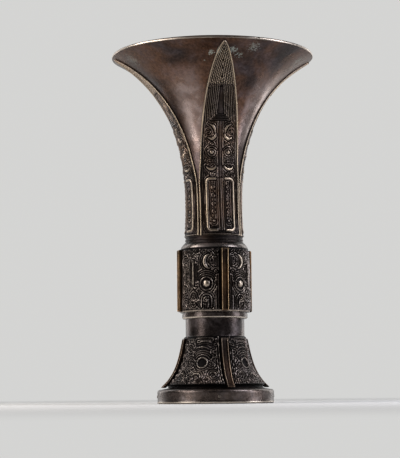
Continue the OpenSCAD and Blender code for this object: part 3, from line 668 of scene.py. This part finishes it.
def blades():
    half = blade_field()
    both = lambda grid, sign=1: np.concatenate([sign * grid[:, :0:-1], grid], 1)
    z = both(half.z)
    turn = both(half.azimuth, -1) + blade_middle(z)
    height = both(half.height)
    # a border that goes down into the wall
    pad = lambda grid: np.pad(grid, 1, mode="edge")
    z, turn, height = pad(z), pad(turn), pad(height)
    relief = (height - BLADE_LOW) / (BLADE_TOP - BLADE_LOW)
    for border in (np.s_[0], np.s_[-1], np.s_[:, 0], np.s_[:, -1]):
        height[border] = BLADE_EDGE
        relief[border] = 0
    z[0], z[-1] = z[0] - 0.02, z[-1] + 0.1
    across, up = outward(neck_radius, z)
    front = turned(neck_radius(z) + height * across, turn, z + height * up)
    rows, columns = z.shape
    # a back of fewer columns, inside the wall, that shares the border's points
    keep = list(range(0, columns, 7))
    if keep[-1] != columns - 1:
        keep.append(columns - 1)
    inner = keep[1:-1]
    deep_z = z[1:-1][:, inner]
    across, up = outward(neck_radius, deep_z)
    back = turned(neck_radius(deep_z) + BLADE_EDGE * across, turn[1:-1][:, inner],
                  deep_z + BLADE_EDGE * up)
    first = rows * columns

    def spot(i, k):
        """The point of the back at row i and its own column k, or the border's there."""
        column = keep[k]
        if i in (0, rows - 1) or k in (0, len(keep) - 1):
            return i * columns + column
        return first + (i - 1) * len(inner) + k - 1

    faces = quads(rows, columns, False, False)
    for k in range(len(keep) - 1):
        for i in range(rows - 1):
            a, b, c, d = spot(i, k), spot(i, k + 1), spot(i + 1, k + 1), spot(i + 1, k)
            if i == 0:
                low = list(range(keep[k], keep[k + 1] + 1))
                faces.append(low[::-1] + [d, c])
            elif i == rows - 2:
                high = [(rows - 1) * columns + j for j in range(keep[k], keep[k + 1] + 1)]
                faces.append([b, a] + high)
            else:
                faces.append([b, a, d, c])
    points = np.concatenate([front.reshape(-1, 3), back.reshape(-1, 3)])
    relief = np.concatenate([relief.ravel(), np.zeros(back.size // 3)])
    made = []
    for name, a in zip(SIDES, QUARTERS):
        spin = np.array(Matrix.Rotation(math.radians(a), 3, "Z"))
        made.append(piece("neck_blade_" + name, points @ spin.T, faces, blade_bronze, relief))
    return made


# Walls chased all round: a quarter turn is chased, from the middle of a flange to the next


def quarter_wall(radius, low, high, step, columns, up, ground):
    zs = even_heights(radius, low, high, step)
    azimuth, z = np.meshgrid(np.linspace(0, 90, columns), zs)
    return Field(azimuth, z, radius, up, ground)


def whole_turn(quarter):
    """Azimuths, heights and relief all round: a quarter turn is mirrored, then both repeated."""
    grid = lambda part: np.concatenate([part, part[:, -2:0:-1]] * 2, 1)
    z = grid(quarter.z)
    azimuth = np.linspace(0, 360, z.shape[1], endpoint=False)
    return np.repeat(azimuth[None, :], len(z), 0), z, grid(quarter.height)


# Drum

DRUM_LOW, DRUM_TOP = -0.15, 1.35     # the ground and the fully rubbed lines, out from the wall


def drum_field():
    """A quarter of the drum, with half a mask."""
    low = DRUM_Z + DRUM_ROUND
    f = quarter_wall(drum_radius, low, SHOULDER_Z, 0.34, 133, climb(drum_radius, 60, 140),
                     DRUM_LOW)
    middle_r = DRUM_R - 0.5
    across = np.radians(f.azimuth) * middle_r
    side = np.radians(90) * middle_r - across
    # level with the wall in the middle of a slot, and no ground as far as its edges
    f.lay(across, 0.1, 0.0)
    f.near = np.minimum(f.near, np.minimum(across, side) - 3.6)

    # eye, brows and horn
    eye, horn = (29.5, 94.4), (22.8, 112.0)
    f.dome(*eye, 3.0, 1.7)
    f.ring(*eye, 5.0, 1.1, 1.0, 0.96)
    for r, spread in ((7.0, 62), (8.6, 48), (10.2, 40)):
        f.arc(*eye, r, 90 - spread, 90 + spread, 0.9, 0.95, 0.5)
    f.arc(*horn, 5.0, -84, 80, 3.1, 1.5, 0.7, 1.12)
    f.arc(*horn, 7.5, -80, 75, 0.8, 0.75, 0.3, 1.05)
    f.curl(14, 104.5, 1.6, 1.1, 200, 0.8, 0.75)
    # jaw: an arch over a comma, and its stem
    jaw, arch_r = (29.5, 82.2), 4.1
    f.arc(*jaw, arch_r, 0, 180, 1.1, 0.95, 0.0, 0.95)
    for leg in (arch_r, -arch_r):
        f.stroke(*jaw, [(leg, 0), (leg, -6.5)], 1.0, 0.9)
    f.curl(30.5, 81.4, 2.2, 1.15, 90, 1.2, 1.2, -1)
    f.stroke(30.5, 81.4, [(-2.0, 0.6), (-2.1, -2.4), (-1.5, -6.6)], 1.2, 1.1, 0.4)
    # the body's bar, with a foot, and the claws beneath it
    f.stroke(52.6, 92, [(0, 0), (0.2, 21)], 1.9, 1.3, 0.3)
    f.stroke(47.2, 97, [(0, 0), (0, 12.5)], 0.9, 0.75, 0.2)
    f.stroke(52.6, 91.4, [(0, 0.4), (-1.6, -0.6), (-3.4, 0.2)], 1.4, 1.1, 0.5)
    f.stroke(52.6, 84.6, [(-3.8, -1.5), (-2.4, 2.4), (0, 4.2), (2.6, 2.4), (4.2, -1.5)], 1.1,
             0.95, 0.2)
    f.curl(52.6, 84.2, 1.9, 1.1, 90, 0.9, 0.95)
    f.curl(51.5, 78.2, 2.3, 1.2, 150, 1.0, 1.0, -1)
    f.curl(41.5, 77.6, 1.9, 1.2, 30, 0.8, 0.8)
    # the tail against the side flange
    f.arc(72, 112.5, 3.6, -90, 130, 1.4, 1.1, 0.5)
    f.stroke(72, 112.5, [(0.4, -3.6), (-1.2, -9.5), (-0.6, -17)], 1.2, 0.9, 0.3)
    f.curl(71, 89.5, 2.7, 1.3, 60, 1.0, 0.95)
    f.arc(70, 79.5, 3.2, 0, 180, 1.0, 0.85, 0.2)
    # the band of small scrolls along the top
    top = f.climb(120.4)
    for a in range(14, 80, 11):
        f.curl(a, 120.2, 1.5, 1.1, 180 if (a // 11) % 2 else 0, 0.7, 0.7,
               1 if (a // 11) % 2 else -1)
    f.near = np.minimum(f.near, abs(f.up - top - 2.6) - 0.25)
    f.ground(across, 0.65, 1.65, 3.4, (5.0, 4.7), 1.6)
    # smooth bands at both ends
    ease = np.clip((f.z - low) / 0.4, 0, 1) * np.clip((SHOULDER_Z - f.z) / 0.8, 0, 1)
    f.height = f.height * ease
    return f


def drum():
    azimuth, z, height = whole_turn(drum_field())
    before = ([(SOCKET_R, DRUM_Z), (26.4, DRUM_Z)]
              + bead((DRUM_R - DRUM_ROUND, DRUM_Z + DRUM_ROUND), DRUM_ROUND, -90, -10, 7))
    after = [(27.25, SHOULDER_Z + 0.5), (26.6, SHOULDER_Z + 1.9), (25.6, SHOULDER_Z + 3.2),
             (CUP_R + 0.3, NECK_Z - 0.2), (CUP_R, NECK_Z), (SOCKET_R, NECK_Z),
             (SOCKET_R, NECK_Z - LEDGE_H), (CUP_R, NECK_Z - 6.2), (CUP_R, DRUM_Z + LEDGE_H),
             (SOCKET_R, DRUM_Z + LEDGE_H)]
    # painted highlights: its lower edge is painted bright and its shoulder paler
    marked = {5: 0.9, 6: 0.9, 7: 0.9, 8: 0.9, -10: 0.5, -9: 0.5, -8: 0.5}
    return chased("chased_drum", before, azimuth, z, drum_radius, height, after, drum_bronze,
                  DRUM_LOW, DRUM_TOP, marked)


# Foot

FOOT_LOW, FOOT_TOP = -0.1, 1.1       # the ground and the fully rubbed lines, out from the wall
FOOT_WALL = 3


def foot_field():
    """A quarter of the foot, with half a mask."""
    f = quarter_wall(foot_radius, HEM_Z, WAIST_Z, 0.36, 141, climb(foot_radius, 5, 70), FOOT_LOW)
    across = np.radians(f.azimuth) * f.radius
    side = np.radians(90) * f.radius - across
    f.near = np.minimum(f.near, np.minimum(across, side) - 3.4)
    # a border line beside each flange
    for away in (across, side):
        f.lay(abs(away - 4.6), 0.9, 0.75)
    # eye: a ring round a hollow
    eye = (37.6, 31.8)
    f.ring(*eye, 4.3, 1.3, FOOT_TOP)
    f.pit(*eye, 3.5, -0.3)
    # lids and brows
    for r, a, b, h in ((6.7, 30, 150, 1.0), (8.4, 35, 145, 0.95), (10.1, 45, 135, 0.9)):
        f.arc(*eye, r, a, b, 1.1, h, 0.5)
    f.stroke(38.5, 43.2, [(-7, -1.6), (-3.5, 0.6), (0.5, 1.5), (4.5, 0.6), (7.5, -1.2)], 1.2,
             0.95, 0.6)
    f.stroke(38.5, 46.6, [(-7.5, -0.8), (-3.5, 0.4), (1, 0.4), (5.5, -0.6)], 0.9, 0.8, 0.5)
    # a flat scroll along the top
    f.stroke(36, 50.6, [(-6.5, -1.9), (-7.2, -0.4), (-6.2, 0.9), (0, 1.0), (6, 0.8), (8.2, -0.6),
                        (7.6, -2.4)], 1.0, 0.95, 0.2)
    f.curl(16, 46.5, 2.0, 1.2, 90, 0.8, 0.8)
    f.arc(18, 40.5, 2.8, -100, 100, 0.9, 0.85, 0.4)
    # jaw curls
    f.arc(43.5, 20.4, 3.7, 0, 190, 1.4, 1.1, 0.3)
    f.curl(42.5, 19.4, 2.0, 1.2, 60, 0.9, 0.95)
    f.arc(20, 22.2, 2.6, 10, 200, 1.2, 1.1, 0.4)
    f.dome(19, 21.0, 1.0, 0.9)
    f.curl(24, 30.5, 1.9, 1.2, 200, 0.8, 0.8)
    # body and tail
    f.arc(60, 33.0, 3.2, -120, 120, 1.1, 0.95, 0.3)
    f.curl(64, 43.0, 2.4, 1.25, 0, 0.9, 0.9)
    f.curl(64, 22.0, 2.8, 1.3, 120, 1.0, 0.95, -1)
    f.stroke(60, 28.0, [(2.0, 2.0), (4.0, -2.0), (4.4, -7.0)], 1.0, 0.85, 0.3)
    f.curl(76, 33.0, 2.3, 1.2, 30, 0.9, 0.85)
    f.curl(75, 47.0, 1.6, 1.1, 30, 0.8, 0.8)
    f.near = np.minimum(f.near, abs(f.up - f.climb(52.4)) - 0.3)
    f.ground(across, 0.65, 1.7, 3.8, (5.0, 4.8), 1.6)
    ease = np.clip((f.z - HEM_Z) / 0.7, 0, 1) * np.clip((WAIST_Z - f.z) / 0.5, 0, 1)
    f.height = f.height * ease
    return f


def foot():
    azimuth, z, height = whole_turn(foot_field())
    skirt = RING_R - RING_WALL - 0.05
    inner = skirt - FOOT_WALL
    spigot_in, spigot_top = SPIGOT_R - FOOT_WALL, DRUM_Z + SPIGOT_H
    hem = float(foot_radius(HEM_Z))
    before = [(inner, RING_LIP_H), (skirt, RING_LIP_H), (skirt, RING_H), (hem - 1.3, RING_H + 0.9),
              (hem - 1.5, RING_H + 2.4), (hem - 0.5, HEM_Z - 0.5)]
    zs = np.linspace(HEM_Z, WAIST_Z - 1.5, 16)[::-1]
    across, up = outward(foot_radius, zs)
    inside = np.stack([foot_radius(zs) - FOOT_WALL * across, zs - FOOT_WALL * up], -1)
    after = ([(WAIST_R + 0.3, WAIST_Z + 0.25), (WAIST_R, WAIST_Z + 0.6)]
             + [(WAIST_R, float(h)) for h in np.linspace(WAIST_Z + 1.2, COLLAR_Z, 10)]
             + [(SPIGOT_R, COLLAR_Z), (SPIGOT_R, spigot_top), (spigot_in, spigot_top),
                (spigot_in, WAIST_Z)] + inside.tolist() + [(inner, RING_H)])
    # the groove above the ring is painted dark as shade, and the corner under the waist is
    # darkened
    marked = {2: -0.3, 3: -0.3, 4: -0.3, 5: -0.3, -len(after): -0.35}
    return chased("chased_foot", before, azimuth, z, foot_radius, height, after, foot_bronze,
                  FOOT_LOW, FOOT_TOP, marked)


# Flanges: two rounded rails with a channel between, closed at both ends


def flange(name, azimuth, zs, root, crest, material, channel):
    """root and crest are the radii of its back and of its rails at each height.

    channel is the height of the channel's bed, as a share of the rails' height.
    """
    x = np.array([-1, -1, -0.98, -0.93, -0.86, -0.79, -0.73, -0.67, -0.35, 0,
                  0.35, 0.67, 0.73, 0.79, 0.86, 0.93, 0.98, 1, 1]) * FLANGE_W / 2
    c = channel
    rail = np.array([-9, 0.0, 0.68, 0.95, 1.0, 0.93, 0.5 + c / 2, c, c + 0.02, c + 0.08,
                     c + 0.02, c, 0.5 + c / 2, 0.93, 1.0, 0.95, 0.68, 0.0, -9])
    from_end = np.minimum(zs - zs[0], zs[-1] - zs)
    close = np.clip((from_end - 0.8) / 1.2, 0, 1)[:, None]     # the channel opens from the ends
    round_end = np.sqrt(np.clip(1 - (1 - np.clip(from_end / 1.1, 0, 1)) ** 2, 0, 1))[:, None]
    shut = 0.93 - 0.25 * (abs(x) / FLANGE_W * 2) ** 4
    cap = np.where(rail > 0.05, np.maximum(rail, shut), rail)
    lift = rail[None, :] * close + cap[None, :] * (1 - close)
    rise = (crest - root)[:, None]
    low = rise * 0.5
    r = np.where(rail[None, :] < -1, root[:, None],
                 root[:, None] + low + (rise - low) * lift * (0.35 + 0.65 * round_end))
    xs = x[None, :] * (1 - 0.1 * (1 - round_end))
    points = np.stack([xs + 0 * r, -r, np.repeat(zs[:, None], len(x), 1)], -1)
    relief = np.clip(lift, 0, 1) ** 1.5 * (rail > -1)
    # painted shade: the flange's sides are darkened up to the rails' edges
    relief[:, [2, -3]] = 0.3                 # its sides are dark, up to the rails' edges
    rows, columns = len(zs), len(x)
    faces = quads(rows, columns, False, True)
    faces.append(list(range(columns))[::-1])
    faces.append([(rows - 1) * columns + j for j in range(columns)])
    spin = np.array(Matrix.Rotation(math.radians(azimuth), 3, "Z"))
    return piece(name, points.reshape(-1, 3) @ spin.T, faces, material, relief)


def flanges():
    made = []
    for name, a in zip(SIDES, QUARTERS):
        low, high = DRUM_Z + 0.6, SHOULDER_Z - 0.6
        zs = np.concatenate([np.linspace(low, low + 3.1, 14),
                             np.linspace(low + 3.7, high - 3.8, 40),
                             np.linspace(high - 3.1, high, 14)])
        made.append((flange("rail_drum_" + name, a, zs, np.full(len(zs), 26.5),
                            np.full(len(zs), DRUM_FLANGE_R), flange_bronze, 0.3),
                     "drum_flange_" + name))
        low, high = RING_H + 1.25, WAIST_Z - 1.25
        zs = np.concatenate([np.linspace(low, low + 3, 14), np.linspace(low + 3.7, high - 3, 40),
                             np.linspace(high - 2.4, high, 12)])
        rise = 4.15 - 1.9 * (zs - low) / (high - low)
        across, _ = outward(foot_radius, zs)
        crest = np.minimum(foot_radius(zs) + rise * across, FOOT_TOE_R)  # its toe ends upright
        made.append((flange("rail_foot_" + name, a, zs, foot_radius(zs) - 0.85, crest,
                            foot_rail_bronze, 0.38), "foot_flange_" + name))
    return made


# Plain parts


def foot_ring():
    r, corner = RING_R, 2.6
    seat_r = r - RING_WALL
    outline = ([(seat_r - RING_LIP_W, 0.25), (seat_r - RING_LIP_W + 0.2, 0.0), (r - 1.1, 0.0),
                (r - 0.6, 0.15), (r - 0.15, 0.7), (r - 0.02, 1.3), (r - 0.05, 1.6),
                (r - 0.22, 2.2), (r - 0.25, 2.8), (r - 0.2, 5.0), (r - 0.1, RING_H - 3.2)]
               + bead((r - corner - 0.05, RING_H - corner), corner, 4, 90, 10)
               + [(seat_r + 0.15, RING_H), (seat_r, RING_H - 0.2), (seat_r, RING_LIP_H),
                  (seat_r - RING_LIP_W, RING_LIP_H)])
    # painted highlight: rows 4 to 6, round the lower bevel, are painted bright
    return spun("plinth_ring", outline, plain_bronze, 256, wear_and_highlight=(4, 5, 6))


def collar():
    r, corner = COLLAR_R, COLLAR_ROUND
    outline = ([(SOCKET_R, COLLAR_Z), (r - corner, COLLAR_Z)]
               + bead((r - corner, COLLAR_Z + corner), corner, -80, 0, 8)
               + [(r - 0.08, COLLAR_Z + 2.4), (r - 0.1, DRUM_Z - 1.6)]
               + bead((r - 0.5, DRUM_Z - 1.3), 0.45, 10, 80, 5)
               + [(r - 0.95, DRUM_Z - 0.8), (r - 1.0, DRUM_Z), (SOCKET_R, DRUM_Z)])
    # painted highlight: rows 4 to 8, round the lower rounded edge, are painted bright
    return spun("waist_collar", outline, plain_bronze, 192, wear_and_highlight=(4, 5, 6, 7, 8))


def pins():
    """Four peened pins, a hair proud of the ring, in one piece."""
    tip, count = RING_R + 0.25, 20
    outline = np.array([(0, tip - 5.6), (PIN_R, tip - 5.6), (PIN_R, tip - 0.35),
                        (PIN_R - 0.15, tip - 0.14), (0.7, tip - 0.03), (0.0, tip)])
    turns = np.radians(np.linspace(0, 360, count, endpoint=False))
    pin = np.stack([outline[:, :1] * np.cos(turns), -outline[:, 1:] + 0 * turns,
                    outline[:, :1] * np.sin(turns) + RING_H / 2], -1).reshape(-1, 3)
    points, faces = [], []
    for n, a in enumerate(QUARTERS):
        spin = np.array(Matrix.Rotation(math.radians(a + PIN_TURN), 3, "Z"))
        points.append(pin @ spin.T)
        faces += quads(len(outline), count, first=n * len(pin))
    points = np.concatenate(points)
    return piece("ring_pins", points, faces, pin_bronze, np.full(len(points), -1.0))


def dress():
    wall = neck_wall()
    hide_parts("neck")
    made = [wall] + blades()
    body = drum()
    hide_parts("drum")
    lower = foot()
    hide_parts("foot")
    made += [body, lower]
    for rail, node in flanges():
        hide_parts(node)
        made.append(rail)
    for thing, node in ((foot_ring(), "foot_ring"), (collar(), "lower_collar"),
                        (pins(), "foot_ring_pins")):
        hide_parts(node)
        made.append(thing)
    for thing in made:
        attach(thing, "root")
    for node, material in (("cup_floor", inner_bronze), ("upper_solder_fillet", solder),
                           ("lower_solder_fillet", solder)):
        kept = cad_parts[node]
        kept.data.materials.clear()
        kept.data.materials.append(material)


# Stage: a pale floor that curves up behind, soft lamps and the camera; sizes here in metres

CAMERA_AZIMUTH, CAMERA_AWAY, CAMERA_Z = -16.5, 1.2807, 0.010
PAPER, FAR_PAPER = (0.74, 0.73, 0.71, 1), (0.66, 0.66, 0.65, 1)
WARM_LIGHT, COOL_LIGHT, PLAIN_LIGHT = (1.0, 0.97, 0.94), (0.88, 0.91, 1.0), (1, 1, 1)
LAMPS = (      # name, azimuth from the camera's, distance, height, size, power, colour, aim
    ("left box", -56, 0.8, 0.4, (0.26, 0.8), 4, WARM_LIGHT, 0.4),
    ("right box", 82, 0.8, 0.4, (0.32, 0.8), 4.3, COOL_LIGHT, 0.4),
    ("low left box", -80, 0.42, 0.44, (0.16, 0.2), 1.5, WARM_LIGHT, 0.03),
    ("low right box", 70, 0.42, 0.44, (0.16, 0.2), 1.3, COOL_LIGHT, 0.03),
    ("back left box", -135, 0.8, 0.4, (0.2, 0.8), 1, PLAIN_LIGHT, 0.4),
    ("back right box", 140, 0.8, 0.4, (0.2, 0.8), 1, PLAIN_LIGHT, 0.4),
    ("overhead", 10, 0.3, 1.4, (0.8, 0.8), 0.8, PLAIN_LIGHT, 0.14))


def studio_paper():
    """Pale satin paper: plain far off to the camera, and behind the object to glossy rays."""
    material = bpy.data.materials.new("pale studio paper")
    material.use_nodes = True
    tree = material.node_tree
    shader = tree.nodes["Principled BSDF"]
    place = add(tree, "TexCoord").outputs["Object"]
    a = math.radians(CAMERA_AZIMUTH)
    behind = add(tree, "VectorMath", {0: place, 1: (-math.sin(a), math.cos(a), 0)},
                 operation="DOT_PRODUCT").outputs["Value"]
    away = add(tree, "VectorMath", {0: place}, operation="LENGTH").outputs["Value"]
    feed(tree, shader, {"Base Color": PAPER, "IOR": 1.5,
                        "Roughness": ramp(tree, away, 0.05, 0.2, 0.42, 0.8)})
    path = add(tree, "LightPath").outputs
    plain = sums(tree, "MAXIMUM",
                 sums(tree, "MULTIPLY", ramp(tree, away, 0.15, 0.75), path["Is Camera Ray"]),
                 sums(tree, "MULTIPLY", ramp(tree, behind, 0.1, 1.2), path["Is Glossy Ray"]))
    glow = add(tree, "Emission", {"Color": FAR_PAPER, "Strength": 1.0})
    both = add(tree, "MixShader", {0: plain, 1: shader.outputs[0], 2: glow.outputs[0]})
    tree.links.new(both.outputs[0], tree.nodes["Material Output"].inputs["Surface"])
    return material


def floor():
    bend, r = 1.4, 0.6               # where the floor starts to curve up, and how tightly
    path = [(-3.0, 0.0), (bend, 0.0)]
    path += [(bend + r * math.sin(t), r - r * math.cos(t))
             for t in np.radians(np.linspace(8, 90, 14))]
    path += [(bend + r, 3.0)]
    points, faces = [], []
    turn = Matrix.Rotation(math.radians(CAMERA_AZIMUTH), 3, "Z")
    for y, z in path:
        points += [turn @ Vector((-4, y, z)), turn @ Vector((4, y, z))]
    for n in range(len(path) - 1):
        faces.append([2 * n, 2 * n + 1, 2 * n + 3, 2 * n + 2])
    made = piece("floor", np.array(points) / MM, faces, studio_paper())


def lamp(name, azimuth, away, height, size, power, colour, aim):
    """A soft box azimuth degrees to the right of the camera; it faces the axis at height aim."""
    data = bpy.data.lights.new(name, "AREA")
    data.shape, data.size, data.size_y = "RECTANGLE", size[0], size[1]
    data.energy, data.color = power, colour
    made = bpy.data.objects.new(name, data)
    a = math.radians(azimuth + CAMERA_AZIMUTH)
    made.location = (math.sin(a) * away, -math.cos(a) * away, height)
    way = Vector((0, 0, aim)) - made.location
    made.rotation_euler = way.to_track_quat("-Z", "Y").to_euler()
    made.visible_camera = False
    bpy.context.scene.collection.objects.link(made)


def camera():
    """The photo's view: its pan, tilt and roll in degrees."""
    pan, tilt, roll = 0.507, 5.816, -0.53
    data = bpy.data.cameras.new("camera")
    data.lens, data.sensor_width = 124.98, 36
    made = bpy.data.objects.new("camera", data)
    a = math.radians(CAMERA_AZIMUTH)
    made.location = (CAMERA_AWAY * math.sin(a), -CAMERA_AWAY * math.cos(a), CAMERA_Z)
    turn = Matrix.Rotation(a + math.radians(pan), 4, "Z")
    tip = Matrix.Rotation(math.radians(90 + tilt), 4, "X")
    lean = Matrix.Rotation(math.radians(roll), 4, "Z")
    made.rotation_euler = (turn @ tip @ lean).to_euler()
    bpy.context.scene.collection.objects.link(made)
    bpy.context.scene.camera = made


def air():
    world = bpy.data.worlds.new("studio air")
    bpy.context.scene.world = world
    world.use_nodes = True
    tree = world.node_tree
    sky = tree.nodes["Background"]
    sky.inputs["Color"].default_value = (0.86, 0.87, 0.9, 1)
    seen = add(tree, "LightPath").outputs["Is Camera Ray"]
    tree.links.new(ramp(tree, seen, 0.0, 1.0, 0.055, 0.75), sky.inputs["Strength"])


camera()
dress()
floor()
air()
for setting in LAMPS:
    lamp(*setting)
bpy.context.scene.view_settings.view_transform = "Standard"
